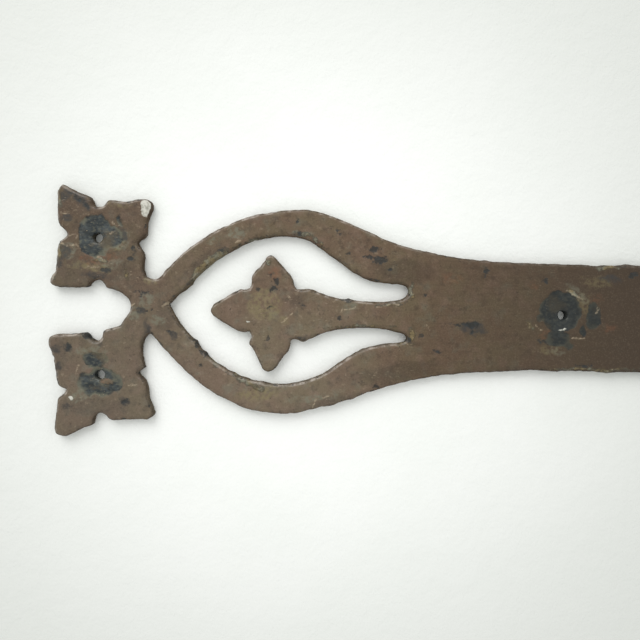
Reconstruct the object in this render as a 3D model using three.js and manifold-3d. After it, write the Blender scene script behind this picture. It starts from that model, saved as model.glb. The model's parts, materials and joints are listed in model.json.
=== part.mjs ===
// Ornamental strap hinge for a door or gate, lying on its back. Millimetres, +Z up.
// X runs along the strap, from the two finials at the tip to the jamb leaf. Y runs along the hinge pin.
// The backs of both leaves lie in the plane z = 0.
import * as THREE from "three";
import * as BufferGeometryUtils from "three/addons/utils/BufferGeometryUtils.js";
import Module from "manifold-3d";

const wasm = await Module();
wasm.setup();

// ---- Driving dimensions ----
const thickness = 6.4;
const strapWidth = 64;
const strapReach = 508; // from the pin's axis to the tip of the finials
const jambReach = 60; // from the pin's axis to the free edge of the jamb leaf
const jambCornerRadius = 9;
const screwHoleRadius = 2.9;

const pinRadius = 6.35;
const runningGap = 0.35; // round the pin, inside every eye and washer
const endGap = 0.4; // between neighbours along the pin
const leafGap = 0.5; // between an eye and the plate notched round it
const rollSeam = 1.6; // between the end of a roll and the plate it comes back to
const middleEyeLength = 20.8;
const washerThickness = 1.6;
const washerRadius = 11.5;
const washerChamfer = 0.3;

const headRadius = 10.5;
const headHeight = 8.5;
const pinTailLength = 8.5; // beyond the end washer
const pinTipChamfer = 1.2;
const splitPinWireRadius = 0.8;
const splitPinLegOffset = 0.95;
const splitPinEyeRadius = 2.2;
const splitPinHoleRadius = 2.1;
const splitPinLegReach = 11.2; // from the hinge pin's axis
const splitPinLegSpread = 2.9; // of each leg's tip, to its side

// Values that follow from them
const boreRadius = pinRadius + runningGap;
const eyeRadius = boreRadius + thickness;
const pinHeight = eyeRadius; // the eyes roll forward, so that their backs touch the plane z = 0
const halfWidth = strapWidth / 2;
const halfMiddleEye = middleEyeLength / 2;
const outerEyeStart = halfMiddleEye + endGap + washerThickness + endGap;
const notchDepth = eyeRadius + leafGap;
const eyeLeafLength = 2 * notchDepth; // of the part that goes well into the plate
const endWasherStart = halfWidth + endGap;
const headStart = endWasherStart + washerThickness + endGap;
const splitPinPlace = headStart + pinTailLength / 2 - endGap; // distance of its hole from the middle of the pin

const curveSteps = 3; // straight pieces for each point of a smooth run
const roundSides = 36;
const smallRoundSides = 20;
const domeSteps = 10; // of the pin's head
const splitPinEyeSteps = 9;
const splitPinLengthSteps = 60;
const splitPinSectionSteps = 4; // straight pieces for each half of the wire's section
const weldDistance = 1e-4; // between corners that are one corner

// ---- Colours ----
const paint = (name, color, roughness) =>
  new THREE.MeshStandardMaterial({ name, color, roughness, metalness: 0.2 });
const bareSteel = (name, color) =>
  new THREE.MeshStandardMaterial({ name, color, roughness: 0.5, metalness: 0.9 });
const strapPaint = paint("strap_paint", 0x63574a, 0.6);
const jambPaint = paint("jamb_paint", 0x5b5043, 0.6);
const pinSteel = bareSteel("pin_steel", 0x4a4640);
const washerSteel = bareSteel("washer_steel", 0x5a5852);
const splitPinSteel = bareSteel("split_pin_steel", 0x77746c);

// ---- Solids: closed geometries turned into Manifold solids and back ----
function solidOf(geometry) {
  const bare = geometry.clone();
  bare.deleteAttribute("normal");
  bare.deleteAttribute("uv");
  const merged = BufferGeometryUtils.mergeVertices(bare, weldDistance);
  return new wasm.Manifold(
    new wasm.Mesh({
      numProp: 3,
      vertProperties: new Float32Array(merged.attributes.position.array),
      triVerts: new Uint32Array(merged.index.array),
    }),
  );
}

function geometryOf(solid) {
  const mesh = solid.getMesh();
  const geometry = new THREE.BufferGeometry();
  geometry.setAttribute("position", new THREE.BufferAttribute(mesh.vertProperties, 3));
  geometry.setIndex(new THREE.BufferAttribute(mesh.triVerts, 1));
  geometry.computeVertexNormals();
  return geometry;
}

// A box from its lowest corner to its highest corner.
function boxBetween(low, high) {
  const size = high.map((value, axis) => value - low[axis]);
  const middle = high.map((value, axis) => (value + low[axis]) / 2);
  return solidOf(new THREE.BoxGeometry(...size).translate(...middle));
}

// A round bar along Y, centred on the origin, to cut a hole with.
function drill(radius, length) {
  return new THREE.CylinderGeometry(radius, radius, length, smallRoundSides);
}

// The bar that cuts a leaf's screw hole at (x, y).
function screwHole(x, y) {
  const bar = drill(screwHoleRadius, 3 * thickness);
  return solidOf(bar.rotateX(Math.PI / 2).translate(x, y, thickness / 2));
}

// ---- Outline of the strap ----
// x is measured from the tip of the finials and y from the middle line of the bar.
// A run is a smooth stretch between two corners: the curve starts where the last run ended and passes
// through the run's points. A run of one point is a straight edge.
function drawRuns(path, runs) {
  for (const run of runs) {
    const points = run.map(([x, y]) => new THREE.Vector2(x, y));
    if (points.length === 1) path.lineTo(points[0].x, points[0].y);
    else path.splineThru(points);
  }
  return path;
}

// The outside edge, anticlockwise from the lower corner of the heel.
const outsideRuns = [
  [[strapReach, halfWidth]],
  [[290, halfWidth]],
  // the bar swells into the upper arm of the loop, which comes down to the neck
  [[258, 33.2], [234, 36.4], [209, 42], [184, 52.3], [161, 60.4], [147, 61.2], [126, 58.2],
    [108, 52.1], [90, 41.5], [78, 32], [67, 19]],
  [[63, 17.5], [57.5, 19]],
  // upper finial, right side, then its notch
  [[55.3, 25], [56.2, 31], [55, 35.3]],
  [[52.6, 38], [52.5, 40.5], [57, 44]],
  [[57.5, 50], [58.5, 56], [60.7, 61.3]],
  [[60, 63.7], [57.3, 65.6]],
  // top side
  [[52.5, 65.7], [45, 64], [34.5, 65]],
  [[32.6, 62.2], [30.4, 60.6], [27.4, 60.4], [25, 61.4], [24.1, 64], [22.4, 66.8]],
  [[18, 68.1], [13.5, 70], [8.5, 72.5]],
  [[6.5, 73.5], [3.3, 69.7]],
  // left side
  [[3.8, 64], [3.9, 55], [4.9, 49.5]],
  [[8.9, 45.8], [9.8, 43], [5, 39]],
  [[4, 32], [3.9, 26], [3.1, 20]],
  [[1.2, 16], [1.3, 14], [4, 12.1]],
  // bottom side
  [[12, 12], [18, 12.5], [22.7, 12.3]],
  [[24.3, 15.4], [27, 16.8], [30.2, 16.9], [33, 14.7], [34.3, 11.8]],
  // round the gap between the two finials
  [[42.3, 10], [47.7, 5.8], [49.2, 1.6], [48.2, -2.8], [43.3, -10.5]],
  [[38, -12.4], [32.7, -13.9]],
  // lower finial, top side
  [[32.7, -16.9], [31.9, -19.1], [29.6, -20.7], [26.3, -20.3], [24, -18.2], [21.8, -16]],
  [[16.5, -16.1], [11, -16.6], [2.4, -17.1]],
  [[0.3, -19.5], [0.6, -23.8]],
  // left side
  [[3, -30], [4.8, -38], [6, -45.5], [8.2, -48.6]],
  [[11, -49], [11.2, -51.3], [6.3, -55.6]],
  [[5.8, -63], [5, -72.5]],
  [[6, -76.5], [11, -78.5]],
  // bottom side
  [[16.5, -75.5], [21.5, -73], [27.1, -71.2]],
  [[27.6, -67.7], [29, -64.7], [31.7, -63.4], [35, -64.2], [37, -66.6], [38.8, -67.9]],
  [[46, -67.3], [54, -67], [60.9, -67.1]],
  [[63.8, -64.3], [63.4, -61]],
  // right side
  [[60.6, -54.5], [59.4, -47], [57.6, -43]],
  [[54.3, -39.7], [54.5, -38], [58.1, -35.8]],
  [[56, -29], [55.8, -22.5], [57.3, -17.5]],
  [[59.5, -15], [62, -15.2]],
  // the lower arm of the loop runs back into the bar
  [[68, -22], [80, -34.2], [92, -44.4], [104.5, -52.3], [122, -59.2], [138, -61.5], [152, -60.5],
    [175, -54.5], [198.5, -45.8], [222, -39.3], [246, -35.3], [290, -halfWidth]],
];

// The opening of the loop, clockwise from its pointed end, round the four-lobed leaf and its stem.
const openingStart = [71.6, 2.8];
const openingRuns = [
  // inner edge of the upper arm
  [[76, 7.8], [82.2, 12.8], [90, 21.8], [101.8, 31.6], [118.5, 41.1], [132, 44.9], [141, 45.8],
    [150, 44.9], [159, 41.5], [175.5, 30.2], [184, 24.3], [192, 20.4], [203, 18.6], [211, 18.5]],
  // rounded end of the upper slot
  [[215.6, 16.9], [216.9, 13.4], [215.3, 10.3], [211, 8]],
  // stem, upper edge
  [[204, 7], [191, 7], [173, 8.6], [163, 11.6], [157, 13.9]],
  [[152.5, 13.1], [148.7, 13.8]],
  // upper lobe
  [[146.9, 16.5], [146.2, 20.6]],
  [[141, 26], [135.8, 32]],
  [[133.2, 33.8], [130.6, 32.9]],
  [[127.6, 27.3], [124.6, 24.7]],
  [[121.9, 20.5], [121.7, 16], [120.6, 13.2]],
  // left lobe
  [[118, 12.6], [115, 12.9]],
  [[107, 8.3], [99, 3.2]],
  [[97.2, -0.3], [98.8, -3.6]],
  [[107, -8.2], [114.5, -12.5]],
  [[117.5, -13], [120.9, -12.2]],
  // lower lobe
  [[122.7, -15.5], [121, -19.7]],
  [[125, -25.7], [129.3, -34.8]],
  [[132.5, -36.7], [136.7, -35]],
  [[141, -27.8], [145.2, -23]],
  [[145.6, -19.5], [145.8, -17.2]],
  // stem, lower edge
  [[149, -16.3], [153, -17.4]],
  [[161, -14.7], [168, -11.6], [180, -9.4], [192, -8.8], [204, -9.5], [211, -11]],
  // rounded end of the lower slot
  [[215.2, -12.6], [216.1, -15], [214.6, -17]],
  // inner edge of the lower arm
  [[203, -18.6], [192, -21], [183.6, -25.2], [175.6, -30.6], [166.5, -37], [157, -41.1],
    [148, -43.5], [138, -44.2], [126, -42.6], [114.5, -39.4], [104, -33.9], [94, -26.8]],
  [[89.5, -21.9], [83.8, -15], [78.5, -9.2], [74.8, -3], openingStart],
];

// Screw holes of the strap: one in each finial and three along the bar.
const strapScrewHoles = [[28.5, 42], [31.5, -40.6], [309.5, 1.2], [454, 0]];
// Screw holes of the jamb leaf, measured from the pin's axis.
const jambScrewHoles = [[27, 0], [46, 20], [46, -20]];

// ---- Leaves ----
// Cross-section of a leaf that rolls forward round the pin, in the plane across the pin. The leaf reaches
// along +x, the roll starts under the pin's axis, and its end comes back to the front of the leaf, short of
// it by a seam.
function rolledEyeSection() {
  const seamHeight = thickness + rollSeam - pinHeight; // where the roll ends, from the pin's axis
  const innerAngle = Math.asin(seamHeight / boreRadius);
  const outerAngle = Math.asin(seamHeight / eyeRadius);
  const section = new THREE.Shape();
  section.moveTo(eyeLeafLength, 0);
  section.lineTo(eyeLeafLength, thickness);
  section.absarc(0, pinHeight, boreRadius, -Math.PI / 2, innerAngle, true);
  section.absarc(0, pinHeight, eyeRadius, outerAngle, -Math.PI / 2, false);
  section.closePath();
  return section;
}

// One rolled eye from y = from to y = to, with its leaf reaching along +x.
function rolledEye(from, to) {
  const eye = new THREE.ExtrudeGeometry(rolledEyeSection(), {
    depth: to - from,
    curveSegments: roundSides / 2,
    bevelEnabled: false,
  });
  return solidOf(eye.rotateX(Math.PI / 2).translate(0, to, 0));
}

function plateOf(outline) {
  return new THREE.ExtrudeGeometry(outline, {
    depth: thickness,
    curveSegments: curveSteps,
    bevelEnabled: false,
  });
}

function makeStrapLeaf() {
  const outline = drawRuns(new THREE.Shape().moveTo(strapReach, -halfWidth), outsideRuns);
  outline.holes.push(drawRuns(new THREE.Path().moveTo(...openingStart), openingRuns));
  const plate = solidOf(plateOf(outline).translate(-strapReach, 0, 0));
  const room = boxBetween([-notchDepth, -strapWidth, -thickness], [notchDepth, strapWidth, 2 * thickness]);
  const eye = rolledEye(-halfMiddleEye, halfMiddleEye).rotate([0, 0, 180]);
  let leaf = plate.subtract(room).add(eye);
  for (const [x, y] of strapScrewHoles) leaf = leaf.subtract(screwHole(x - strapReach, y));
  return geometryOf(leaf);
}

function makeJambLeaf() {
  const corner = jambCornerRadius;
  const outline = new THREE.Shape();
  outline.moveTo(notchDepth, halfWidth);
  outline.lineTo(notchDepth, -halfWidth);
  outline.absarc(jambReach - corner, corner - halfWidth, corner, -Math.PI / 2, 0, false);
  outline.absarc(jambReach - corner, halfWidth - corner, corner, 0, Math.PI / 2, false);
  outline.closePath();
  let leaf = solidOf(plateOf(outline));
  leaf = leaf.add(rolledEye(outerEyeStart, halfWidth));
  leaf = leaf.add(rolledEye(-halfWidth, -outerEyeStart));
  for (const [x, y] of jambScrewHoles) leaf = leaf.subtract(screwHole(x, y));
  return geometryOf(leaf);
}

// ---- Pin, washers and split pin, made about the Y axis ----
function makeHingePin() {
  const tail = endWasherStart + washerThickness + endGap + pinTailLength;
  const headRim = headHeight / 4;
  const profile = [
    new THREE.Vector2(0, -tail),
    new THREE.Vector2(pinRadius - pinTipChamfer, -tail),
    new THREE.Vector2(pinRadius, pinTipChamfer - tail),
    new THREE.Vector2(pinRadius, headStart),
    new THREE.Vector2(headRadius, headStart),
  ];
  for (let step = 0; step < domeSteps; step += 1) {
    const angle = (step / domeSteps) * (Math.PI / 2);
    const rise = headRim + (headHeight - headRim) * Math.sin(angle);
    profile.push(new THREE.Vector2(headRadius * Math.cos(angle), headStart + rise));
  }
  profile.push(new THREE.Vector2(0, headStart + headHeight));
  const pin = solidOf(new THREE.LatheGeometry(profile, roundSides));
  const hole = drill(splitPinHoleRadius, 4 * pinRadius).rotateZ(Math.PI / 2);
  return geometryOf(pin.subtract(solidOf(hole.translate(0, -splitPinPlace, 0))));
}

function makeWasher() {
  const rim = washerRadius - washerChamfer;
  const profile = [
    [boreRadius, 0],
    [rim, 0],
    [washerRadius, washerChamfer],
    [washerRadius, washerThickness - washerChamfer],
    [rim, washerThickness],
    [boreRadius, washerThickness],
    [boreRadius, 0],
  ];
  const ring = new THREE.LatheGeometry(profile.map(([r, y]) => new THREE.Vector2(r, y)), roundSides);
  return geometryOf(solidOf(ring));
}

// A wire folded back on itself at a round eye. Its two legs pass through the pin along +x and part beyond it.
function makeSplitPin() {
  const legPoints = [
    [splitPinLegReach, splitPinLegSpread],
    [(splitPinLegReach + pinRadius) / 2, (splitPinLegSpread + splitPinLegOffset) / 2],
    [pinRadius, splitPinLegOffset],
    [pinRadius / 3, splitPinLegOffset],
    [-pinRadius / 2, splitPinLegOffset],
  ];
  const leg = (side) => legPoints.map(([x, y]) => new THREE.Vector3(x, side * y, 0));
  const eyeX = -(pinRadius + splitPinEyeRadius + splitPinWireRadius / 2);
  const eyeStart = Math.PI / 4;
  const eye = [];
  for (let step = 0; step <= splitPinEyeSteps; step += 1) {
    const angle = eyeStart + (step / splitPinEyeSteps) * 2 * (Math.PI - eyeStart);
    const x = eyeX + splitPinEyeRadius * Math.cos(angle);
    eye.push(new THREE.Vector3(x, splitPinEyeRadius * Math.sin(angle), 0));
  }
  const wire = new THREE.CatmullRomCurve3([...leg(1), ...eye, ...leg(-1).reverse()]);
  const section = new THREE.Shape().absarc(0, 0, splitPinWireRadius, 0, 2 * Math.PI, false);
  const tube = new THREE.ExtrudeGeometry(section, {
    steps: splitPinLengthSteps,
    curveSegments: splitPinSectionSteps,
    extrudePath: wire,
  });
  return geometryOf(solidOf(tube));
}

// ---- Assembly ----
function piece(name, geometry, material) {
  const mesh = new THREE.Mesh(geometry, material);
  mesh.name = name;
  return mesh;
}

const leaves = new THREE.Group();
leaves.add(piece("strap_leaf", makeStrapLeaf(), strapPaint));
leaves.add(piece("jamb_leaf", makeJambLeaf(), jambPaint));

const barrel = new THREE.Group();
barrel.position.z = pinHeight;
barrel.add(piece("hinge_pin", makeHingePin(), pinSteel));
const washerStarts = {
  head_washer: endWasherStart,
  thrust_washer_upper: halfMiddleEye + endGap,
  thrust_washer_lower: -(halfMiddleEye + endGap + washerThickness),
  end_washer: -(endWasherStart + washerThickness),
};
for (const [name, start] of Object.entries(washerStarts)) {
  const washer = piece(name, makeWasher(), washerSteel.clone());
  washer.position.y = start;
  barrel.add(washer);
}
const splitPin = piece("split_pin", makeSplitPin(), splitPinSteel);
splitPin.position.y = -splitPinPlace;
barrel.add(splitPin);

const assembly = new THREE.Group();
assembly.add(leaves, barrel);

// The origin is the middle of the hinge's footprint.
const footprint = new THREE.Box3().setFromObject(assembly).getCenter(new THREE.Vector3());
assembly.position.set(-footprint.x, -footprint.y, 0);

const strapHinge = new THREE.Group();
strapHinge.add(assembly);
export default strapHinge;
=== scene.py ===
"""Looks of an old strap hinge of forged iron under worn brown paint, on a pale plaster floor.

Metres, +Z up. The hinge lies on its back, with the strap's finials towards -X and its pin along Y.
"""
import json
import math

import bmesh
import bpy
import numpy as np
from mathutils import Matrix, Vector, kdtree, noise


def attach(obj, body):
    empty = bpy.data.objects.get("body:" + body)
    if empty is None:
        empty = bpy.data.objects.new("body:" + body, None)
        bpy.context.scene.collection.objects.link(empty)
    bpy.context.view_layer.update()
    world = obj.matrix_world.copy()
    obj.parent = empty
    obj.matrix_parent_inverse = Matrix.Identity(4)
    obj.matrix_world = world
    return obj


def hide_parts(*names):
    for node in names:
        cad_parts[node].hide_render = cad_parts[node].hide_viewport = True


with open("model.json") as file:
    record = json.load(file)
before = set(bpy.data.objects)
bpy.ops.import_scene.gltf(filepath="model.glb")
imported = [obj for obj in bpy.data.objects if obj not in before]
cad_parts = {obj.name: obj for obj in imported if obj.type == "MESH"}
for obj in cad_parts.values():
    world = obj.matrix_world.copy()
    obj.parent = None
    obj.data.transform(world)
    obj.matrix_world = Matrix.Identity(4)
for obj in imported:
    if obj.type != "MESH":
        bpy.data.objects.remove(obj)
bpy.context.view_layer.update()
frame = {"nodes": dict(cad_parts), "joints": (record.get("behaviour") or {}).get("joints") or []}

MM = 0.001

# ---- Design values shared with the CAD model ----
THICKNESS = 6.4 * MM
STRAP_REACH = 508 * MM  # from the pin's axis to the tip of the finials
EYE_RADIUS = 13.1 * MM

pin_axis = Vector(frame["joints"][0]["pos_m"])


def on_strap(x, y):
    """The place of a point given in millimetres from the finials' tip and the bar's middle line."""
    return pin_axis.x - STRAP_REACH + x * MM, pin_axis.y + y * MM


# ---- View and light ----
VIEW_CENTRE = on_strap(163.4, -4.7)
CAMERA_HEIGHT = 298 * MM  # above the strap's front
CAMERA_LENS = 27.9
CAMERA_TURN = math.radians(1.25)
FLOOR_LIGHT_CENTRE = on_strap(150, -4.7)  # middle of the painted pool of light on the floor, where it is whitest
FLOOR_SIZE = 60
SKY_STRENGTH = 0.86
WINDOW_PLACE = (-0.67, 1.18, 1.09)
WINDOW_SIZE = 1.4
WINDOW_POWER = 14

# ---- Wear ----
HIGHLIGHT_SIDE = (-0.45, 0.9)  # the side facing the window, whose edges get a painted highlight line
CORNER_WIDTH = 1.4 * MM  # how far the rounding of the leaves' edges reaches
SMALL_CORNER_WIDTH = 0.8 * MM  # the same on the small pieces
CORNER_LOSS = 0.26  # millimetres taken off the leaves' edges, on average
OUTLINE_GROWTH = 0.26  # millimetres of scale and paint on the outline's walls
PAINT_COAT = 0.22  # millimetres of paint, missing where the iron is bare
BACK_WEAR = 0.2 * MM  # the most that the backs are worn
SEED_STEP = 31.7  # how far apart the seeds' patterns lie in the noise, in waves
FAR_OUTSIDE = -4.0  # stored where a point is far from every mark, in millimetres
FAR_FROM_EDGE = 6.0  # the greatest distance from an edge that is stored, in millimetres


# ---- Marks on the leaves: x, y, length, width, turn in degrees; millimetres as in on_strap ----
STRAP_MARKS = {
    "bare": [
        # round the upper finial's hole
        (27.3, 43, 20, 26, 0), (36.5, 42, 15, 13, 0), (41.6, 51.8, 3, 5, 20), (21, 47, 8, 9, 0),
        # round the lower finial's hole
        (28.9, -31.4, 15, 10, -8), (31.8, -45, 27, 17, 0), (25, -46, 8, 10, 0),
        # round the first hole in the bar
        (307.7, 3.4, 25, 25, 0), (296, -0.6, 6, 5, 0), (306.8, -12.6, 15, 9, 0),
        (312.8, -16.2, 7, 4, -30), (327.8, 1.6, 8, 17, -6), (322, -8.5, 4, 6, 0),
        # round the hole near the pin
        (454, 0.6, 21, 23, 10), (462, -9, 12, 8, 25), (441, 6, 7, 6, 0),
    ],
    "painted": [
        # paint left inside a bare patch
        (36.2, -44.6, 9, 3.6, -5), (25, -37.6, 4, 3, 0), (318.5, -12, 5, 4, 0), (447, -7, 5, 3, 20),
    ],
    "shade": [
        # broad darker places
        (28, 24, 52, 20, 0), (19, 21, 40, 16, 0), (28, -60, 44, 14, 0), (14, 60, 24, 14, -20),
        (4, 42, 10, 44, 0), (6, -30, 14, 26, 0), (70, -6, 12, 16, 0), (40, -60, 26, 8, 0),
        (92, 28, 40, 8, 38), (214, 26, 40, 16, 0), (214, -34, 60, 12, 10), (300, 4, 60, 50, 0),
        (149, 6.6, 10, 9, 0), (172, -53, 40, 5, 12),
    ],
    "spot": [
        # upper finial: its worn corner and small chips
        (17.5, 64.8, 10, 2.2, -30), (22, 60.6, 5, 2.2, -60), (33.7, 22.6, 6.4, 2.4, 0),
        (50.8, 34.8, 2.2, 5, 0), (49, 29.8, 2.6, 2, 0), (41.8, 54, 2, 3, 30),
        # lower finial
        (12.6, -24, 5, 3, 50), (47.4, -56, 2.6, 3.4, -20), (23.4, -17.8, 8, 3.4, -36),
        (14.4, -15.6, 3, 2, 0),
        # neck and lower arm
        (57, 9.3, 5.4, 1, 2), (54.7, 8, 1, 3, 0), (60, -0.6, 6, 0.8, 8), (72.8, -14, 3, 2, -30),
        (92, -34.3, 2, 1.6, 40), (90, -21.6, 7, 2.6, -45), (95, -27.4, 5, 2, -40),
        (198.2, -43.6, 3, 2.2, 20), (213.6, -13.8, 5, 2, -50),
        # upper arm
        (194.9, 39.2, 4.6, 4, 0), (192.3, 33.8, 7, 2.4, 0), (198.4, 32.3, 7.5, 4.6, 6),
        (204.2, 27, 2, 2, 0), (197, 30, 4, 1.6, 0), (172.2, 49.7, 2, 1.2, 0), (173.9, 47.5, 2, 1.4, 0),
        (178.8, 35.4, 2.6, 2, 0), (148.4, 54.2, 1.2, 1.4, 0), (150.6, 47.8, 3, 1, 0),
        (102.5, 36.3, 5, 2, 30),
        # four-lobed leaf and its stem
        (136.6, 17.4, 3, 5.4, 30), (135, 12.8, 5, 3, 20), (133.8, 21.7, 1.6, 1.8, 0),
        (126.2, 12.8, 2.4, 1.4, 0), (133.5, 1.9, 2, 1.6, 0), (132.4, -17, 1, 3.4, -20),
        (151.5, 3.6, 3.4, 1, -20), (175.2, -4, 2.4, 2.6, 30), (179.6, 7.4, 5, 1.4, -10),
        # bar
        (254.6, -6, 9, 4.2, -6), (254.8, -10.4, 2.6, 2.2, 0), (247.4, -5.6, 8, 1.2, 4),
        (226.5, 12, 2.6, 1.8, 0), (234.4, -21.8, 3.8, 1.6, -12), (298.6, 22, 3.4, 3.2, 0),
        (350.6, 26.6, 6.4, 3.6, 6), (323.4, -28.6, 8, 2, 0), (217, -16, 3, 2.6, 0),
        (224, -13.8, 3, 1.6, -15), (299, -15, 5, 1.8, -10), (262.5, 26, 2, 5, 0), (376, -18, 5, 2.4, 12),
        (391, 21, 3, 2.2, 0), (418, -24, 4, 2, 0), (408, 9, 2.4, 2.4, 0), (431, 27.8, 7, 2.4, 0),
        (478, 20, 4.5, 3, 30), (484, -22, 3.4, 4.4, 0),
    ],
    "smear": [
        # soft dark stains: upper finial, lower finial, neck, then the arms and the bar
        (17, 65.4, 13, 5, -30), (21.6, 61, 6, 4.4, -60), (9, 67, 8, 7, 0), (9.5, 53, 8, 4, 0),
        (9.5, 33, 7, 9, 0), (5, 26, 6, 6, 0), (27, 19, 14, 4, 0), (44, 44, 6, 9, 20),
        (12.6, -24.4, 6, 5, 20), (4.6, -25.4, 5, 6, 0), (6.4, -36.6, 4, 6, 0), (12, -60, 5, 4, 0),
        (47.4, -56, 5, 5, 0), (26, -18, 12, 5, -35), (55.2, -1.2, 5, 5, 0), (86, 17, 12, 3, 40),
        # the smear at 81.5, -10.6 along the lower arm's inner edge is painted shade standing in for that
        # edge's dark wall
        (112, 33, 26, 2.6, 30), (76, -16, 6, 5, -40), (81.5, -10.6, 28, 3, -51), (152, -16.4, 10, 3, 10),
        (59.4, -13, 3, 9, 0), (151, 46.6, 8, 3, 0), (256, -8, 14, 7, 0), (338, 24, 12, 4, 0),
        (420, 10, 30, 4, 0), (470, -20, 20, 5, 0),
    ],
    "grey": [
        # thin paint with grey-green iron showing through
        (58.5, 4.8, 9, 8.6, 0), (58.5, 4.8, 7, 6.6, 0), (67.8, -7.4, 4.4, 4, 0), (43, 41, 11, 12, 0),
        (151.6, 46.6, 15, 4, -4), (111.5, 46.8, 9, 9, 20), (181, 4, 9, 4, 0), (306, -20, 12, 5, 0),
        (11, 34, 10, 10, 0), (52, -3, 9, 7, 0), (98, 42, 7, 3, 30), (64.5, -7, 7, 7, 0),
        (446, -10, 12, 8, 0), (22, -52, 16, 8, 20), (26, -27, 16, 6, 0), (158, -52, 26, 4, 8),
        (84, -12, 5, 14, 45), (36, 26.5, 16, 6, 0), (318, 14, 16, 6, -35),
    ],
    "olive": [
        (130, 3.6, 20, 20, 0), (324.2, 5.8, 4, 5, 0), (24, 24.6, 22, 4, -6), (41, 62, 12, 3, -4),
        (142, -5.6, 5, 4, 0), (126, -50, 26, 8, 6), (60, 18, 8, 10, 40), (330, 22, 16, 6, 0),
        (300, -20, 12, 6, 0), (322, 8, 8, 14, 0), (40, 41, 10, 12, 0),
    ],
    "rim": [
        # edges worn through the paint to its lower coats
        (96.3, 26.6, 31, 8, 40), (120, 40.6, 20, 3, 24), (5.6, 63.6, 2.8, 9, 4), (218, 13.6, 3, 12, 0),
        (218.6, -12.6, 4, 9, 0), (100, -30.2, 13, 3.6, -44), (206, 5.6, 18, 1.8, 5),
        (213, -18, 14, 1.8, 3), (335, 31, 16, 3, 0), (326, -31, 50, 2.4, 0), (160, 42.6, 14, 2.2, -32),
        (152.4, 46.4, 6, 3, -20), (5.2, 33, 3.4, 14, 0), (3, 18.6, 4, 5, 0), (120, -43, 26, 3, -24),
        (61, 22, 8, 3, 25), (186, -8.4, 34, 1.8, 3), (46.5, 20, 3, 7, 0), (316, 14, 10, 3, -35),
        (290, -5.5, 8, 3, -40), (31, 28.5, 12, 2.4, -10), (131.6, 29.4, 4.4, 3, 40),
    ],
    "rust": [
        (156.9, 44, 8, 2.4, -30), (160.6, 40.6, 4, 2.2, -35), (290.9, 19, 6, 5, 0), (329, 12, 7, 5, 0),
        (35, -43.8, 8, 3, 0), (300, -11, 9, 6, 0), (30, 30, 22, 8, 0), (447, 13, 6, 4, 0),
        (136, 22, 5, 9, 0), (242, 22, 12, 6, 0), (338, -6, 8, 5, 0),
    ],
    "pale": [
        # dabs of old lime and paint
        (57.8, 60, 6.2, 11.4, 6), (15.2, -54.2, 2.9, 2.9, 0), (308.2, -7.4, 4.6, 0.9, 5),
        (310.4, -7.3, 1.6, 1.5, 0), (78.3, -0.2, 4, 2, 60), (119.4, -6.6, 2.2, 0.9, -20),
    ],
    "scratch": [
        # fine bright lines: their width is left out
        (143.4, -3.4, 10, 0, 43), (12, 37.4, 13, 0, -1), (13.5, 43, 4, 0, 20), (16, 41.4, 2.4, 0, 60),
        (27, 24.6, 6, 0, -4), (8.5, 55.6, 6, 0, -8), (7.6, 50, 5, 0, 80), (181, 2.6, 7, 0, 10),
        (18, -36.6, 6, 0, 62), (51.6, -46.6, 5, 0, 4), (104.5, -34.6, 8, 0, -42), (203, 5, 15, 0, 6),
        (213.5, -18.6, 12, 0, 3), (319, -12.4, 7, 0, -3), (88, 20.4, 6, 0, 36), (144.6, 8.4, 4, 0, -60),
        (113, 41, 3, 0, 40), (229, -8.6, 4, 0, -50), (366, -9, 15, 0, 4), (47.3, -2, 13, 0, 48),
        (423, 14, 16, 0, -4), (30.6, 29.2, 4.5, 0, -35), (73, 4, 10, 0, 36), (470, -15, 11, 0, 20),
        (38.5, 49.6, 4, 0, -40), (37.4, 44.6, 3, 0, 20), (314.5, 14.5, 6, 0, -35), (319, 12.6, 5, 0, -20),
        (295, -6.6, 5, 0, -40), (330, 5, 4, 0, 70), (112.5, -19.4, 3, 0, -60), (176, 1, 4, 0, 70),
        (160.5, -54.6, 5, 0, 60), (168, -50.6, 4, 0, 20), (60, 60, 3, 0, 60),
    ],
}
JAMB_MARKS = {
    "bare": [
        (535, 0.6, 20, 18, 0), (528, -7, 9, 8, 30), (554, 20.6, 18, 16, 10), (552.5, -20, 17, 19, 0),
    ],
    "painted": [(537, 5, 5, 3, 0)],
    "shade": [(532, 0, 26, 40, 0), (556, -28, 20, 12, 0)],
    "smear": [(548, 8, 12, 20, 30), (530, -24, 14, 8, 0)],
    "spot": [
        (541, 13, 4, 3, 20), (545, -9, 3, 4, 0), (560, 5, 3, 6, 0), (526, 22, 5, 3, 10),
        (531, -26, 6, 2, 0),
    ],
    "grey": [(545, 4, 12, 9, 0), (530, 18, 10, 12, 0), (548, -29, 12, 4, 0)],
    "olive": [(540, -14, 12, 8, 0)],
    "rim": [(562, 14, 3, 18, 0), (545, 31, 20, 2.4, 0), (540, -31, 22, 2.4, 0)],
    "rust": [(531, 9, 12, 7, 0), (550, -10, 10, 6, 0)],
    "pale": [(547, 12, 2, 1.6, 0)],
    "scratch": [(540, -20, 9, 0, 30), (556, 2, 8, 0, 80), (530, 26, 10, 0, 4)],
}
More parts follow.
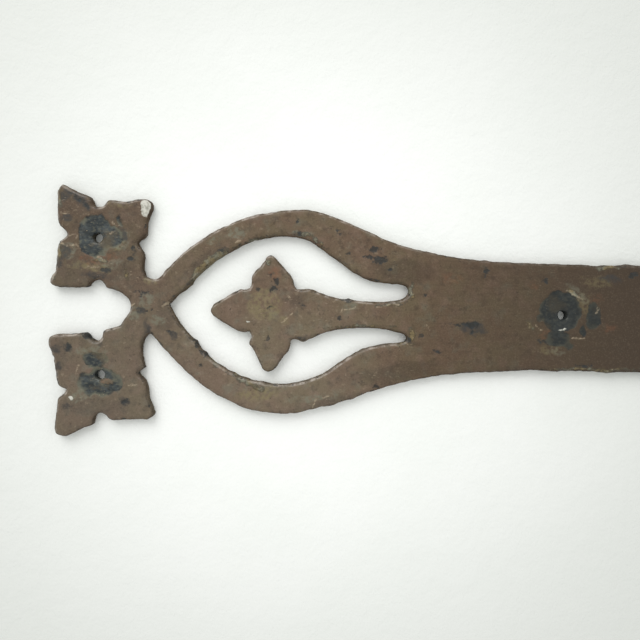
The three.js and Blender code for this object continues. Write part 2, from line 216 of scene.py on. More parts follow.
# Scale and paint runs that stand out from the leaves' edges, and nicks below zero: x, y, radius, height
STRAP_LUMPS = [
    (22.5, -16.6, 2.6, 1.1), (26.4, -19.6, 2, 0.9), (153.6, -16.8, 2.4, 1), (89, -20.4, 2.8, 1.6),
    (93.6, -26.4, 2.2, 1), (86, 14.4, 2.6, 1.2), (180, 8, 2, 0.9), (49.6, -31, 2, 0.6), (75, 2, 2.4, 0.8),
    (150.6, -60, 3, 0.5), (172, -55.6, 2.6, 0.6), (184, -51.4, 2, 0.6), (129, -43.6, 2.4, 0.7),
    (138, -46.4, 2, 0.6), (120, -41.2, 2, 0.5), (112, -38.6, 2, 0.5), (306, -32, 3.6, 0.9),
    (338, -32, 5, 0.9), (262, 32.6, 2, 0.5), (348, 32, 3, 0.6), (372, 32, 2.6, 0.4), (392, -32, 4, 0.5),
    (58, 26, 2, 0.5), (0.8, -22, 2.4, 0.3), (1.6, 17, 4, 0.9), (57.6, -50, 2, 0.4),
    (120.4, 12.8, 1.6, 0.5), (152, 13.6, 2, 0.5), (70, 23.6, 2.4, 0.5), (329, 32.2, 4, -0.9),
    (125, 21.6, 1.6, -0.5), (250, -31.6, 3, -0.4),
]
JAMB_LUMPS = [(541, 32, 3, 0.5), (562, -8, 2.4, -0.6), (531, -32, 3, 0.5)]


# ---- Geometry ----
def smooth_noise(points, size, seed):
    """Smooth noise from about -1 to 1 at each point, in waves about size long."""
    shifted = points / size + SEED_STEP * seed
    return np.array([noise.noise(point) for point in shifted.tolist()])


def remeshed(node, voxel, smoothing):
    """A new object with a CAD node's shape in small even faces, its edges rounded by smoothing."""
    piece = bpy.data.objects.new(node + "_forged", frame["nodes"][node].data.copy())
    bpy.context.scene.collection.objects.link(piece)
    grid = piece.modifiers.new("grid", "REMESH")
    grid.mode = "VOXEL"
    grid.voxel_size = voxel
    softening = piece.modifiers.new("softening", "SMOOTH")
    softening.factor = 0.5
    softening.iterations = smoothing
    evaluated = piece.evaluated_get(bpy.context.evaluated_depsgraph_get())
    mesh = bpy.data.meshes.new_from_object(evaluated)
    piece.modifiers.clear()
    piece.data = mesh
    mesh.name = piece.name
    mesh.materials.clear()
    mesh.shade_smooth()
    return piece


def sharp_edges(node, least_angle=math.radians(32), step=0.5 * MM):
    """Points every half millimetre along a CAD node's sharp edges, in a tree that finds the nearest."""
    shape = bmesh.new()
    shape.from_mesh(frame["nodes"][node].data)
    bmesh.ops.remove_doubles(shape, verts=shape.verts, dist=0.001 * MM)
    points = []
    for edge in shape.edges:
        if len(edge.link_faces) == 2 and edge.calc_face_angle() > least_angle:
            start, end = (vertex.co.copy() for vertex in edge.verts)
            pieces = max(1, round((end - start).length / step))
            points += [start.lerp(end, part / pieces) for part in range(pieces + 1)]
    shape.free()
    tree = kdtree.KDTree(len(points))
    for index, point in enumerate(points):
        tree.insert(point, index)
    tree.balance()
    return tree


class Surface:
    """The points of a piece's mesh, with what is needed to shape and to stain them."""

    def __init__(self, piece, node):
        self.mesh = piece.data
        count = len(self.mesh.vertices)
        flat = np.empty(count * 3)
        self.mesh.vertices.foreach_get("co", flat)
        self.points = flat.reshape(count, 3).copy()
        self.mesh.vertices.foreach_get("normal", flat)
        self.normals = flat.reshape(count, 3).copy()
        tree = sharp_edges(node)
        nearest = [tree.find(point) for point in self.points.tolist()]
        self.to_edge = np.array([distance for _, _, distance in nearest])
        # the level direction in which the nearest edge, or else the surface, faces
        outward = np.array([place[:2] for place, _, _ in nearest]) - self.points[:, :2]
        outward += 0.5 * MM * self.normals[:, :2]
        self.outward = outward / np.maximum(np.linalg.norm(outward, axis=1), 0.01 * MM)[:, None]

    def move(self, distances, lowered=0):
        """Moves each point along its own outward direction, and down by lowered."""
        moved = self.points + self.normals * distances[:, None]
        moved[:, 2] -= lowered
        self.mesh.vertices.foreach_set("co", moved.astype(np.float32).ravel())
        self.mesh.update()

    def stain(self, name, values):
        """Stores one number for each point, for the materials to read."""
        attribute = self.mesh.attributes.new(name, "FLOAT", "POINT")
        attribute.data.foreach_set("value", values.astype(np.float32))

    def stain_edge(self):
        """Stores how far each point is from a sharp edge, in millimetres."""
        self.stain("edge", np.minimum(self.to_edge / MM, FAR_FROM_EDGE))


def finish_piece(piece, body, material, node):
    """Gives a new piece its material and its place in the frame."""
    piece.data.materials.append(material)
    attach(piece, body)
    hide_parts(node)


def warped(points):
    """The points moved a little to and fro, to make the rims of round marks ragged."""
    moved = points.copy()
    for axis in (0, 1):
        moved[:, axis] += 1.3 * MM * smooth_noise(points, 6 * MM, 41 + axis)
        moved[:, axis] += 0.7 * MM * smooth_noise(points, 2.2 * MM, 51 + axis)
    return moved


def inside(points, marks):
    """Millimetres from each point to the rim of the nearest mark, below zero outside all of them."""
    best = np.full(len(points), FAR_OUTSIDE)
    for x, y, length, width, turn in marks:
        centre_x, centre_y = on_strap(x, y)
        cosine, sine = math.cos(math.radians(turn)), math.sin(math.radians(turn))
        across_x, across_y = points[:, 0] - centre_x, points[:, 1] - centre_y
        along = (across_x * cosine + across_y * sine) / MM
        beside = (across_y * cosine - across_x * sine) / MM
        if width:
            depth = (1 - np.hypot(along / (length / 2), beside / (width / 2))) * min(length, width) / 2
        else:
            depth = -np.hypot(np.maximum(np.abs(along) - length / 2, 0), beside)
        best = np.maximum(best, depth)
    return best


def step_at_neck(points):
    """Height of the step where the upper arm was forged over the lower one."""
    start, end = Vector(on_strap(64.5, -1.6)), Vector(on_strap(78, 8.8))
    along_edge = (end - start).normalized()
    x, y = points[:, 0] - start.x, points[:, 1] - start.y
    along = (x * along_edge.x + y * along_edge.y) / (end - start).length
    beside = y * along_edge.x - x * along_edge.y
    rise = 1 / (1 + np.exp(-np.clip(beside / (0.35 * MM), -20, 20)))
    fade = np.clip(along * 3, 0, 1) * np.exp(-np.maximum(beside, 0) / (9 * MM))
    return 0.45 * MM * rise * fade


class Leaf:
    """A leaf as a smith leaves it: wavy faces, ragged edges, rounded corners, lumps of scale and paint."""

    def __init__(self, node, voxel, marks, lumps):
        self.node = node
        self.marks = marks
        self.lumps = lumps
        self.piece = remeshed(node, voxel, smoothing=2)
        self.surface = Surface(self.piece, node)
        points, normals = self.surface.points, self.surface.normals
        from_pin = np.hypot(points[:, 0] - pin_axis.x, points[:, 2] - pin_axis.z)
        self.plate = np.clip((from_pin - EYE_RADIUS) / (6 * MM), 0, 1)  # 0 on the eyes, 1 on the flat
        upright = 1 - np.abs(normals[:, 2])
        self.wall = np.clip((upright - 0.3) * 2, 0, 1) * self.plate
        self.face = np.clip((normals[:, 2] - 0.5) * 2, 0, 1) * self.plate
        self.back = np.clip((-normals[:, 2] - 0.5) * 2, 0, 1) * self.plate
        self.mark_points = warped(points)
        self.patch = inside(self.mark_points, marks["bare"])
        self.bare = np.minimum(self.patch, -inside(self.mark_points, marks["painted"]))

    def forged(self):
        """How far, in metres, the forging and its scale move each point outwards."""
        points = self.surface.points
        waves = 0.16 * smooth_noise(points, 34 * MM, 1) + 0.1 * smooth_noise(points, 12 * MM, 2)
        hollows = np.clip(smooth_noise(points, 3.2 * MM, 4) - 0.35, 0, 1)
        dents = 0.08 * smooth_noise(points, 5 * MM, 3) - 0.14 * hollows
        chips = np.clip(smooth_noise(points, 4.4 * MM, 10) - 0.32, 0, 1)
        ragged = 0.34 * smooth_noise(points, 8 * MM, 5) + 0.26 * smooth_noise(points, 3 * MM, 6)
        ragged -= 1.3 * chips
        near_corner = np.exp(-((self.surface.to_edge / CORNER_WIDTH) ** 2))
        corners = near_corner * (1 + smooth_noise(points, 6 * MM, 7))
        flatness = (0.3 + 0.7 * self.plate) * (1 - 0.8 * self.back)
        outline = np.where(self.patch < 0, self.wall, 0)  # without the walls of the screw holes
        growth = OUTLINE_GROWTH * outline - CORNER_LOSS * corners
        return MM * ((waves + dents) * flatness + ragged * self.wall + growth)

    def lumpy(self):
        """How far, in metres, the lumps and nicks move each point outwards."""
        points = self.surface.points
        roughness = 0.75 + 0.5 * smooth_noise(points, 2 * MM, 8)
        heights = np.zeros(len(points))
        for x, y, radius, height in self.lumps:
            centre_x, centre_y = on_strap(x, y)
            away = np.hypot(points[:, 0] - centre_x, points[:, 1] - centre_y) / (radius * MM)
            heights += height * MM * np.exp(-(away ** 2)) * roughness * (1 - self.back)
        return heights

    def shape(self):
        """Moves the leaf's points to its worn shape."""
        points, normals = self.surface.points, self.surface.normals
        shift = self.forged()
        if self.node == "strap_leaf":
            shift += step_at_neck(points) * self.face
        shift += self.lumpy()
        shift -= PAINT_COAT * MM * np.clip(self.bare + 0.5, 0, 1) * self.face
        shift = np.where(normals[:, 2] < -0.9, np.clip(shift, -BACK_WEAR, 0), shift)
        bevel = np.clip(1 - self.surface.to_edge / CORNER_WIDTH, 0, 1)
        bevel = bevel * (0.55 + 0.25 * smooth_noise(points, 9 * MM, 14))
        self.surface.move(shift, lowered=MM * bevel * self.face)

    def stain(self):
        """Stores the leaf's zones and marks for its material to read."""
        surface = self.surface
        surface.stain_edge()
        surface.stain("wall", self.wall)
        # the edges facing the window, for a painted highlight line on them
        surface.stain("lit_edge", np.clip(surface.outward @ HIGHLIGHT_SIDE, 0, 1) * (self.patch < 0))
        surface.stain("back", self.back)
        surface.stain("eye", 1 - self.plate)
        front = surface.normals[:, 2] > 0.25
        front_and_walls = surface.normals[:, 2] > -0.5
        surface.stain("bare", np.where(front_and_walls, self.bare, FAR_OUTSIDE))
        for name in ("shade", "smear", "grey", "olive", "rust", "pale", "scratch"):
            surface.stain(name, np.where(front, inside(self.mark_points, self.marks[name]), FAR_OUTSIDE))
        for name in ("spot", "rim"):
            depth = inside(self.mark_points, self.marks[name])
            surface.stain(name, np.where(front_and_walls, depth, FAR_OUTSIDE))


def forge_leaf(node, voxel, material, marks, lumps):
    """A leaf, on the body that has its node's name."""
    leaf = Leaf(node, voxel, marks, lumps)
    leaf.shape()
    leaf.stain()
    finish_piece(leaf.piece, node, material, node)


def forge_small(node, voxel, smoothing, material, dents):
    """A small steel piece on the pin, with its edges worn and its surface a little uneven."""
    piece = remeshed(node, voxel, smoothing)
    surface = Surface(piece, node)
    points = surface.points
    shift = dents * (smooth_noise(points, 4 * MM, 11) + 0.5 * smooth_noise(points, 1.6 * MM, 12))
    near_corner = np.exp(-((surface.to_edge / SMALL_CORNER_WIDTH) ** 2))
    worn_corners = near_corner * (1 + smooth_noise(points, 3 * MM, 13))
    surface.move(shift - 0.5 * dents * worn_corners)
    surface.stain_edge()
    finish_piece(piece, "pin", material, node)


# ---- Materials ----
def colour(red, green, blue):
    """A linear colour from display values of 0 to 255."""
    def linear(value):
        value /= 255
        return value / 12.92 if value <= 0.04045 else ((value + 0.055) / 1.055) ** 2.4
    return (linear(red), linear(green), linear(blue), 1)


# paint, from the top coat down
RED_BROWN = colour(100, 79, 61)
PINK_BROWN = colour(118, 96, 80)
OLIVE_BROWN = colour(101, 87, 64)
DARK_BROWN = colour(62, 49, 36)
OCHRE = colour(118, 104, 72)
# dirt and weather, and colours for painted shade and sheen
GRIME_AND_SHADE = colour(50, 40, 29)
SMEAR = colour(54, 52, 50)
GREY_GREEN = colour(104, 102, 86)
OLIVE = colour(132, 122, 86)
LICHEN = colour(114, 114, 98)
# a pale grey for a painted sheen
SHEEN_GREY = colour(142, 136, 126)
RUST = colour(128, 78, 50)
# scratches, painted edge highlights and lime
TAN = colour(168, 152, 128)
HIGHLIGHT_PINK = colour(168, 158, 148)
LIME = colour(200, 198, 188)
# iron
SPOT_BLACK = colour(34, 36, 34)
BLUE_BLACK = colour(40, 46, 48)
SLATE = colour(65, 71, 72)
# floor
WHITE = colour(249, 250, 248)
DULL_WHITE = colour(245, 247, 244)
GREY_WHITE = colour(214, 216, 212)


class Shader:
    """A material's node tree, with a short call for each kind of node that it uses."""

    def __init__(self, name):
        self.material = bpy.data.materials.new(name)
        self.material.use_nodes = True
        self.tree = self.material.node_tree
        self.surface = self.tree.nodes["Principled BSDF"]
        self.place = self.tree.nodes.new("ShaderNodeTexCoord").outputs["Object"]

    def put(self, socket, value):
        if isinstance(value, bpy.types.NodeSocket):
            self.tree.links.new(value, socket)
        else:
            socket.default_value = value

    def add(self, kind, *values, **settings):
        node = self.tree.nodes.new(kind)
        for name, setting in settings.items():
            setattr(node, name, setting)
        for socket, value in zip(node.inputs, values):
            self.put(socket, value)
        return node

    def stain(self, name):
        return self.add("ShaderNodeAttribute", attribute_name=name).outputs["Fac"]

    def math(self, operation, *values):
        return self.add("ShaderNodeMath", *values, operation=operation).outputs[0]

    def plus(self, first, amount, second):
        """first + amount * second"""
        return self.math("MULTIPLY_ADD", second, amount, first)

    def rest(self, mask):
        """1 - mask"""
        return self.math("SUBTRACT", 1.0, mask)

    def times(self, first, *others):
        for other in others:
            first = self.math("MULTIPLY", first, other)
        return first

    def most(self, first, *others):
        for other in others:
            first = self.math("MAXIMUM", first, other)
        return first

    def noise(self, size, seed, detail=3.0, stretch=(1, 1, 1)):
        """Noise from 0 to 1 in waves about size long, drawn out along an axis whose stretch is over 1."""
        scale = [1 / (size * part) for part in stretch]
        offset = (7.3 * seed, 3.1 * seed, 5.7 * seed)  # in waves
        moved = self.add("ShaderNodeVectorMath", self.place, scale, offset, operation="MULTIPLY_ADD")
        node = self.add("ShaderNodeTexNoise")
        self.put(node.inputs["Vector"], moved.outputs[0])
        self.put(node.inputs["Scale"], 1.0)
        self.put(node.inputs["Detail"], detail)
        self.put(node.inputs["Roughness"], 0.55)
        return node.outputs["Fac"]

    def ramp(self, value, low, high, start=0.0, end=1.0):
        """A smooth rise from start, where value is low, to end, where it is high."""
        node = self.add("ShaderNodeMapRange", interpolation_type="SMOOTHSTEP")
        settings = {"Value": value, "From Min": low, "From Max": high, "To Min": start, "To Max": end}
        for name, setting in settings.items():
            self.put(node.inputs[name], setting)
        return node.outputs["Result"]

    def mix(self, factor, first, second):
        node = self.add("ShaderNodeMix", data_type="RGBA")
        self.put(node.inputs["Factor"], factor)
        self.put(node.inputs[6], first)
        self.put(node.inputs[7], second)
        return node.outputs[2]

    def depth(self, name, raggedness, size, seed):
        """Millimetres inside a stain's rim, which noise moves to and fro by about raggedness."""
        moved = self.math("SUBTRACT", self.noise(size, seed, 5.0), 0.5)
        return self.plus(self.stain(name), 4 * raggedness, moved)

    def patch(self, name, raggedness, softness, size, seed):
        """A mask of a stain's patches."""
        return self.ramp(self.depth(name, raggedness, size, seed), -softness, softness)

    def finish(self, base, roughness, height, metallic=0.0, shine=0.35):
        """Sets the surface from its colour, its roughness and its relief in millimetres."""
        self.put(self.surface.inputs["Base Color"], base)
        self.put(self.surface.inputs["Roughness"], roughness)
        self.put(self.surface.inputs["Metallic"], metallic)
        self.put(self.surface.inputs["Specular IOR Level"], shine)
        bump = self.add("ShaderNodeBump")
        bump.inputs["Strength"].default_value = 1.0
        bump.inputs["Distance"].default_value = MM
        self.put(bump.inputs["Height"], height)
        self.put(self.surface.inputs["Normal"], bump.outputs["Normal"])
        return self.material


class OldPaint(Shader):
    """Old brown paint, brushed on over forged iron, stained and chipped."""

    def __init__(self, name):
        super().__init__(name)
        self.edge = self.stain("edge")
        self.wall = self.stain("wall")
        self.back = self.stain("back")
        self.x, self.y = self.add("ShaderNodeSeparateXYZ", self.place).outputs[:2]
        self.on_bar = self.along(180, 240)
        # darker towards the pin: the paint's own tone, and painted shade of the light falling off
        self.shade_and_tone_towards_pin = self.along(150, 370)
        self.rougher = self.ramp(self.on_bar, 0.0, 1.0, 1.0, 0.25)
        self.mottle = self.noise(7 * MM, 2, 5.0)
        self.smudges = self.noise(5 * MM, 4, 5.0)
        self.streaks = self.noise(1.6 * MM, 5, 3.0, stretch=(14, 1, 1))
        self.grain = self.noise(0.9 * MM, 6, 4.0)
        self.pits = self.ramp(self.noise(2.4 * MM, 7, 2.0), 0.7, 0.76)
        self.thin = self.ramp(self.noise(2.6 * MM, 8, 5.0), 0.34, 0.62)
        self.coats = self.noise(1.5 * MM, 13, 4.0, stretch=(1.5, 1, 1))
        self.rim_depth = self.depth("rim", 0.9, 2.4 * MM, 14)
        self.worn_rim = self.times(self.ramp(self.rim_depth, -0.3, 0.3), 0.85)
        self.bare_depth = self.depth("bare", 0.8, 4 * MM, 17)
        self.pale = self.patch("pale", 0.4, 0.25, 1.6 * MM, 28)

    def along(self, low, high, start=0.0, end=1.0):
        """A ramp between two places along the strap, in millimetres from the finials' tip."""
        return self.ramp(self.x, on_strap(low, 0)[0], on_strap(high, 0)[0], start, end)

    def across(self, low, high, start=0.0, end=1.0):
        """A ramp between two places across the strap, in millimetres from the bar's middle line."""
        return self.ramp(self.y, on_strap(0, low)[1], on_strap(0, high)[1], start, end)

    def coat(self):
        """The coat of paint: clouds of several browns, brush streaks along the bar and fine grain."""
        paint = self.mix(self.ramp(self.noise(26 * MM, 1, 3.0), 0.36, 0.64), RED_BROWN, OLIVE_BROWN)
        paint = self.mix(self.ramp(self.mottle, 0.48, 0.7, 0.0, 0.55), paint, PINK_BROWN)
        paint = self.mix(self.ramp(self.noise(9 * MM, 3, 6.0), 0.52, 0.72, 0.0, 0.5), paint, GREY_GREEN)
        paint = self.mix(self.ramp(self.smudges, 0.5, 0.28, 0.0, 0.55), paint, DARK_BROWN)

        # darker towards the top and on the finials; darker towards the pin, partly painted shade; a
        # painted sheen, lighter low on the finials and the loop
        towards_top = self.across(-30, 50, 0.0, 0.15)
        on_finials = self.along(110, 45, 0.0, 0.32)
        shade = self.times(self.patch("shade", 1.5, 3.0, 5 * MM, 34), 0.6)
        darker = self.most(self.shade_and_tone_towards_pin, self.math("ADD", towards_top, on_finials), shade)
        paint = self.mix(darker, paint, DARK_BROWN)
        painted_sheen = self.times(self.across(60, -50, 0.02, 0.16), self.along(230, 160))
        paint = self.mix(painted_sheen, paint, SHEEN_GREY)

        flecked = self.noise(2.8 * MM, 33, 4.0)
        paint = self.mix(self.times(self.ramp(flecked, 0.58, 0.76, 0.0, 0.22), self.rougher), paint, TAN)
        paint = self.mix(self.times(self.ramp(flecked, 0.42, 0.28, 0.0, 0.4), self.rougher), paint, GRIME_AND_SHADE)
        brushed = self.times(self.on_bar, self.ramp(self.streaks, 0.3, 0.6, 0.16, 0.0))
        paint = self.mix(brushed, paint, GRIME_AND_SHADE)
        paint = self.mix(self.ramp(self.grain, 0.5, 0.75, 0.0, 0.08), paint, TAN)
        paint = self.mix(self.ramp(self.grain, 0.5, 0.3, 0.0, 0.2), paint, GRIME_AND_SHADE)
        return self.mix(self.times(self.pits, 0.6), paint, GRIME_AND_SHADE)

    def stained(self, paint):
        """The paint with its stains, which are fainter on the bar, and with the rust of the back."""
        fainter = self.ramp(self.on_bar, 0.0, 1.0, 1.0, 0.55)
        olive = self.patch("olive", 1.6, 1.6, 5 * MM, 9)
        paint = self.mix(self.times(olive, self.thin, fainter, 0.45), paint, OLIVE)
        grey = self.patch("grey", 1.4, 0.9, 4 * MM, 10)
        paint = self.mix(self.times(grey, self.thin, fainter, 0.62), paint, LICHEN)
        smears = self.patch("smear", 1.3, 1.0, 3 * MM, 36)
        paint = self.mix(self.times(smears, self.ramp(self.thin, 0.0, 1.0, 0.5, 0.85)), paint, SMEAR)
        rust = self.times(self.patch("rust", 1.2, 1.4, 3 * MM, 11), self.thin, fainter, 0.32)
        rust_back = self.times(self.back, self.ramp(self.noise(11 * MM, 12, 6.0), 0.4, 0.7), 0.6)
        return self.mix(self.most(rust, rust_back), paint, RUST)

    def worn_at_edges(self, paint):
        """The paint with its lower coats, a painted highlight line on the edges facing the window, a dark
        line of painted shade round its edges, and dirt and painted shade on the walls and in the screw
        holes.
        """
        lower_coats = self.mix(self.ramp(self.mottle, 0.42, 0.58), OCHRE, LICHEN)
        lower_coats = self.mix(self.ramp(self.coats, 0.5, 0.36, 0.0, 0.6), lower_coats, GRIME_AND_SHADE)
        lower_coats = self.mix(self.ramp(self.coats, 0.6, 0.7, 0.0, 0.6), lower_coats, TAN)
        lower_coats = self.mix(self.ramp(self.rim_depth, 0.3, 0.8, 0.7, 0.0), lower_coats, GRIME_AND_SHADE)
        paint = self.mix(self.worn_rim, paint, lower_coats)

        broken = self.noise(4.5 * MM, 15, 5.0)
        # painted shade: a broken dark line round every edge
        edge_shade_line = self.times(self.ramp(self.edge, 1.2, 0.4), self.ramp(broken, 0.6, 0.4), 0.5)
        paint = self.mix(edge_shade_line, paint, GRIME_AND_SHADE)
        # painted highlight: a broken pale line on the edges that face the window
        highlight_line = self.times(self.ramp(self.edge, 1.7, 1.0), self.ramp(self.edge, 0.2, 0.7, 0.4, 1.0))
        less_on_bar = self.ramp(self.on_bar, 0.0, 1.0, 0.75, 0.15)
        gaps = self.ramp(broken, 0.42, 0.62, 0.08, 1.0)
        paint = self.mix(self.times(highlight_line, self.stain("lit_edge"), gaps, less_on_bar), paint, HIGHLIGHT_PINK)

        # dirt on the walls, and painted shade on them and in the screw holes
        wall_dirt_and_shade = self.times(self.wall, self.ramp(self.noise(5 * MM, 16, 4.0), 0.3, 0.7, 0.7, 0.25))
        wall_dirt_and_shade = self.times(wall_dirt_and_shade, self.rest(self.times(self.worn_rim, 0.7)))
        return self.mix(wall_dirt_and_shade, paint, GRIME_AND_SHADE)

    def iron(self):
        """Bare iron: blue-black scale, clouded grey where it is rubbed, green at the paint, and a painted
        shadow just inside the paint's edge.
        """
        clouds = self.ramp(self.noise(7 * MM, 21, 6.0), 0.38, 0.66)
        iron = self.mix(clouds, BLUE_BLACK, SLATE)
        strokes = self.noise(1.4 * MM, 22, 5.0, stretch=(1.6, 1, 1))
        iron = self.mix(self.ramp(strokes, 0.5, 0.68, 0.0, 0.45), iron, GREY_GREEN)
        iron = self.mix(self.ramp(strokes, 0.3, 0.5, 0.75, 0.0), iron, SPOT_BLACK)
        halo = self.ramp(self.noise(9 * MM, 35, 2.0), 0.42, 0.58)
        green_rim = self.times(self.ramp(self.bare_depth, 0.0, 2.4, 0.8, 0.0), halo)
        iron = self.mix(green_rim, iron, GREY_GREEN)
        # painted shadow of the paint's edge: a dark ring just inside the bare patches
        paint_edge_shadow = self.times(self.ramp(self.bare_depth, 0.2, 0.8, 0.6, 0.0), self.rest(halo))
        iron = self.mix(paint_edge_shadow, iron, SPOT_BLACK)
        veil = self.ramp(self.noise(13 * MM, 37, 5.0), 0.5, 0.66, 0.0, 0.5)
        iron = self.mix(veil, iron, OLIVE_BROWN)
        iron = self.mix(self.ramp(self.noise(1.2 * MM, 23, 2.0), 0.7, 0.76, 0.0, 0.75), iron, TAN)
        # bare iron darker towards the pin, partly painted shade
        return self.mix(self.times(self.shade_and_tone_towards_pin, 0.8), iron, SPOT_BLACK)

    def small_losses(self):
        """A mask of the chips in the paint."""
        spots = self.times(self.patch("spot", 1.1, 0.6, 1.7 * MM, 18), 0.85)
        chips = self.times(self.ramp(self.noise(3.6 * MM, 19, 5.0), 0.73, 0.765), 0.7)
        at_edge = self.ramp(self.edge, 1.5, 0.6)
        edge_chips = self.times(at_edge, self.ramp(self.noise(5 * MM, 20, 5.0), 0.6, 0.65), 0.8)
        return self.most(spots, chips, edge_chips)

    def large_losses(self):
        """A mask of the iron round the screw holes and on the eyes' rims."""
        patches = self.ramp(self.bare_depth, -0.5, 0.5)
        eye_rims = self.times(self.ramp(self.edge, 2.0, 0.8), self.ramp(self.stain("eye"), 0.4, 0.9))
        eye_rims = self.times(eye_rims, self.ramp(self.noise(5 * MM, 24, 4.0), 0.35, 0.5))
        return self.most(patches, eye_rims)

    def scratched(self, base):
        """The surface with its scratches, light flecks and dabs of lime."""
        scratches = self.ramp(self.depth("scratch", 0.25, 1.6 * MM, 25), -0.75, -0.25)
        base = self.mix(self.times(scratches, self.thin, 0.6), base, TAN)
        flecks = self.ramp(self.noise(0.8 * MM, 26, 3.0, stretch=(4, 1, 1)), 0.64, 0.71)
        in_places = self.ramp(self.noise(14 * MM, 27, 3.0), 0.46, 0.6)
        base = self.mix(self.times(flecks, in_places, self.rougher, 0.4), base, TAN)
        chalk = self.ramp(self.noise(1.6 * MM, 29, 4.0), 0.28, 0.6, 0.4, 1.0)
        return self.mix(self.pale, base, self.mix(chalk, GREY_GREEN, LIME))

    def relief(self, gone):
        """Height in millimetres: brushed and pitted paint, less where it is gone, more under lime."""
        relief = self.times(self.noise(2.8 * MM, 30, 4.0), 0.2)
        relief = self.plus(relief, 0.25, self.mottle)
        relief = self.plus(relief, 0.05, self.times(self.on_bar, self.streaks))
        relief = self.plus(relief, 0.04, self.grain)
        relief = self.plus(relief, -0.22, gone)
        relief = self.plus(relief, -0.08, self.pits)
        relief = self.plus(relief, 0.3, self.times(self.worn_rim, self.coats))
        return self.plus(relief, 0.12, self.pale)

    def build(self):
        small, large = self.small_losses(), self.large_losses()
        base = self.worn_at_edges(self.stained(self.coat()))
        base = self.mix(small, base, self.mix(self.ramp(self.coats, 0.4, 0.65), SPOT_BLACK, BLUE_BLACK))
        base = self.mix(large, base, self.iron())
        roughness = self.ramp(self.smudges, 0.2, 0.8, 0.42, 0.6)
        roughness = self.plus(roughness, -0.24, self.ramp(self.edge, 1.8, 0.9))
        roughness = self.plus(roughness, 0.5, self.ramp(self.wall, 0.4, 1.0))
        relief = self.relief(self.most(small, large))
        return self.finish(self.scratched(base), roughness, relief, self.times(large, 0.15), shine=0.3)


def worn_steel(name, dark, light, rust_amount, metallic):
    """Dull steel with rust in its hollows and a rubbed shine on its edges."""
    shader = Shader(name)
    turned = shader.noise(0.8 * MM, 31, 3.0, stretch=(1, 0.3, 1))
    clouds = shader.noise(3.4 * MM, 32, 5.0)
    base = shader.mix(shader.ramp(clouds, 0.35, 0.65), dark, light)
    base = shader.mix(shader.ramp(turned, 0.35, 0.7, 0.3, 0.0), base, GRIME_AND_SHADE)
    rust = shader.ramp(shader.noise(2.6 * MM, 33, 6.0), 0.62 - 0.2 * rust_amount, 0.7)
    base = shader.mix(shader.times(rust, rust_amount), base, RUST)
    at_edge = shader.ramp(shader.stain("edge"), 0.56, 0.1)
    base = shader.mix(shader.times(at_edge, shader.ramp(clouds, 0.35, 0.6), 0.6), base, SLATE)
    roughness = shader.plus(shader.ramp(clouds, 0.3, 0.7, 0.36, 0.5), 0.3, rust)
    relief = shader.plus(shader.times(turned, 0.02), 0.05, clouds)
    relief = shader.plus(relief, 0.04, rust)
    return shader.finish(base, roughness, relief, shader.times(shader.rest(rust), metallic))


def plaster(name):
    """A white, faintly stippled floor, greyer away from the middle of the picture: a painted pool of
    light.
    """
    shader = Shader(name)
    base = shader.mix(shader.ramp(shader.noise(60 * MM, 41, 3.0), 0.3, 0.7), DULL_WHITE, WHITE)
    away = shader.add("ShaderNodeVectorMath", shader.place, (*FLOOR_LIGHT_CENTRE, 0), operation="DISTANCE")
    # painted pool of light: the floor greyer away from its middle
    base = shader.mix(shader.ramp(away.outputs["Value"], 0.04, 0.31), base, GREY_WHITE)
    stipple = shader.noise(1.7 * MM, 42, 3.0)
    waves = shader.noise(9 * MM, 43, 3.0)
    relief = shader.plus(shader.times(waves, 0.5), 0.22, stipple)
    return shader.finish(base, 0.85, relief, shine=0.1)


# ---- The pieces ----
strap_paint = OldPaint("strap_paint").build()
jamb_paint = OldPaint("jamb_paint").build()
forge_leaf("strap_leaf", 0.95 * MM, strap_paint, STRAP_MARKS, STRAP_LUMPS)
forge_leaf("jamb_leaf", 0.8 * MM, jamb_paint, JAMB_MARKS, JAMB_LUMPS)

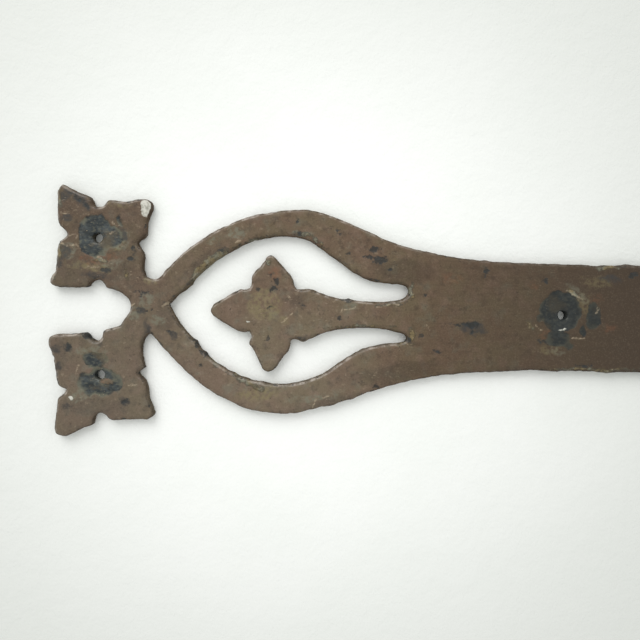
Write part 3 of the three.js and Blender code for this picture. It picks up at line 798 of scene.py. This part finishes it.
pin_steel = worn_steel("pin_steel", colour(62, 54, 45), colour(92, 84, 74), 0.6, 0.35)
washer_steel = worn_steel("washer_steel", colour(76, 76, 72), colour(112, 111, 104), 0.4, 0.7)
split_pin_steel = worn_steel("split_pin_steel", colour(110, 108, 100), colour(150, 148, 138), 0.25, 0.8)
forge_small("hinge_pin", 0.45 * MM, 3, pin_steel, 0.09 * MM)
for washer in ("head_washer", "thrust_washer_upper", "thrust_washer_lower", "end_washer"):
    forge_small(washer, 0.32 * MM, 2, washer_steel, 0.03 * MM)
forge_small("split_pin", 0.2 * MM, 6, split_pin_steel, 0.01 * MM)


# ---- Floor, light and camera ----
def add_floor():
    mesh = bpy.data.meshes.new("floor")
    half = FLOOR_SIZE / 2
    corners = [(-half, -half, 0), (half, -half, 0), (half, half, 0), (-half, half, 0)]
    mesh.from_pydata(corners, [], [(0, 1, 2, 3)])
    mesh.materials.append(plaster("plaster"))
    floor = bpy.data.objects.new("floor", mesh)
    bpy.context.scene.collection.objects.link(floor)


def add_window():
    """One large soft light, beyond the finials and on the side of the pin's head."""
    data = bpy.data.lights.new("window", "AREA")
    data.shape = "DISK"
    data.size = WINDOW_SIZE
    data.energy = WINDOW_POWER
    data.color = (1, 0.995, 0.985)
    window = bpy.data.objects.new("window", data)
    window.location = WINDOW_PLACE
    towards_hinge = Vector((*VIEW_CENTRE, 0)) - Vector(WINDOW_PLACE)
    window.rotation_euler = towards_hinge.to_track_quat("-Z", "Y").to_euler()
    window.visible_camera = False
    bpy.context.scene.collection.objects.link(window)


def add_sky():
    world = bpy.data.worlds.new("sky")
    world.use_nodes = True
    sky = world.node_tree.nodes["Background"]
    sky.inputs["Color"].default_value = (0.985, 1, 0.985, 1)
    sky.inputs["Strength"].default_value = SKY_STRENGTH
    bpy.context.scene.world = world


def add_camera():
    """A camera straight above the finials and the loop."""
    data = bpy.data.cameras.new("camera")
    data.sensor_width = 36
    data.lens = CAMERA_LENS
    camera = bpy.data.objects.new("camera", data)
    camera.location = (*VIEW_CENTRE, THICKNESS + CAMERA_HEIGHT)
    camera.rotation_euler = (0, 0, CAMERA_TURN)
    bpy.context.scene.collection.objects.link(camera)
    bpy.context.scene.camera = camera


add_floor()
add_sky()
add_window()
add_camera()
bpy.context.scene.view_settings.view_transform = "Standard"
